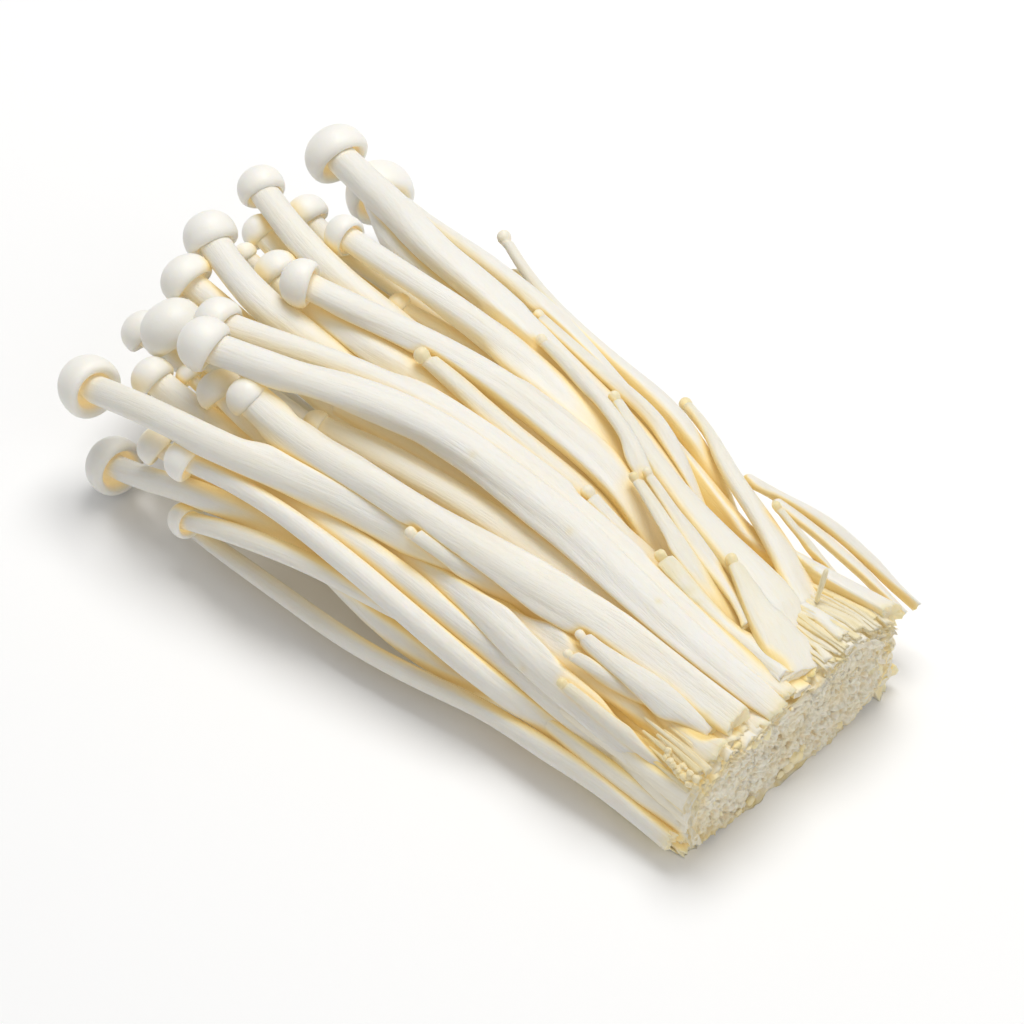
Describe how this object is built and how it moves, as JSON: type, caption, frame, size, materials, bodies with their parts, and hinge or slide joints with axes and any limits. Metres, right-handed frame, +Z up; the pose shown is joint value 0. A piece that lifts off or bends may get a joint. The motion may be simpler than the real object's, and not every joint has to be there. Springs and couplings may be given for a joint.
{
  "type": "enoki mushroom cluster",
  "caption": "Bunch of enoki mushrooms lying on its side: long thin pale stems with small round caps, fused into one cut base block.",
  "frame": {"origin": "bottom centre of the whole cluster's bounding box, on the surface it lies on", "axes": "+X along the stems from the caps to the cut base, +Z up, +Y across the bunch"},
  "size_m": [0.1436, 0.081, 0.0382],
  "materials": {
    "base": "matte, spongy cut mycelium, cream with straw-yellow edges",
    "mushroom": "satin, smooth fine-fibred ivory flesh, pearly caps",
    "slender": "satin, pale straw stunted stems"
  },
  "bodies": {
    "root": {"base_block": "base", "mushroom_01": "mushroom", "mushroom_02": "mushroom", "mushroom_03": "mushroom", "mushroom_04": "mushroom", "mushroom_05": "mushroom", "mushroom_06": "mushroom", "mushroom_07": "mushroom", "mushroom_08": "mushroom", "mushroom_09": "mushroom", "mushroom_10": "mushroom", "mushroom_11": "mushroom", "mushroom_12": "mushroom", "mushroom_13": "mushroom", "mushroom_14": "mushroom", "mushroom_15": "mushroom", "mushroom_16": "mushroom", "mushroom_17": "mushroom", "mushroom_18": "mushroom", "mushroom_19": "mushroom", "mushroom_20": "mushroom", "mushroom_21": "mushroom", "mushroom_22": "mushroom", "mushroom_23": "mushroom", "mushroom_24": "mushroom", "mushroom_25": "mushroom", "mushroom_26": "mushroom", "mushroom_27": "mushroom", "mushroom_28": "mushroom", "mushroom_29": "mushroom", "mushroom_30": "mushroom", "mushroom_31": "mushroom", "mushroom_32": "mushroom", "slender_mushroom_01": "slender", "mushroom_33": "mushroom", "slender_mushroom_02": "slender", "slender_mushroom_03": "slender", "slender_mushroom_04": "slender", "slender_mushroom_05": "slender", "slender_mushroom_06": "slender", "slender_mushroom_07": "slender", "slender_mushroom_08": "slender", "slender_mushroom_09": "slender", "slender_mushroom_10": "slender", "slender_mushroom_11": "slender", "slender_mushroom_12": "slender", "slender_mushroom_13": "slender", "slender_mushroom_14": "slender", "slender_mushroom_15": "slender", "slender_mushroom_16": "slender", "slender_mushroom_17": "slender", "slender_mushroom_18": "slender", "mushroom_34": "mushroom", "mushroom_35": "mushroom", "mushroom_36": "mushroom", "mushroom_37": "mushroom", "mushroom_38": "mushroom", "mushroom_39": "mushroom", "mushroom_40": "mushroom", "mushroom_41": "mushroom"}
  },
  "joints": []
}
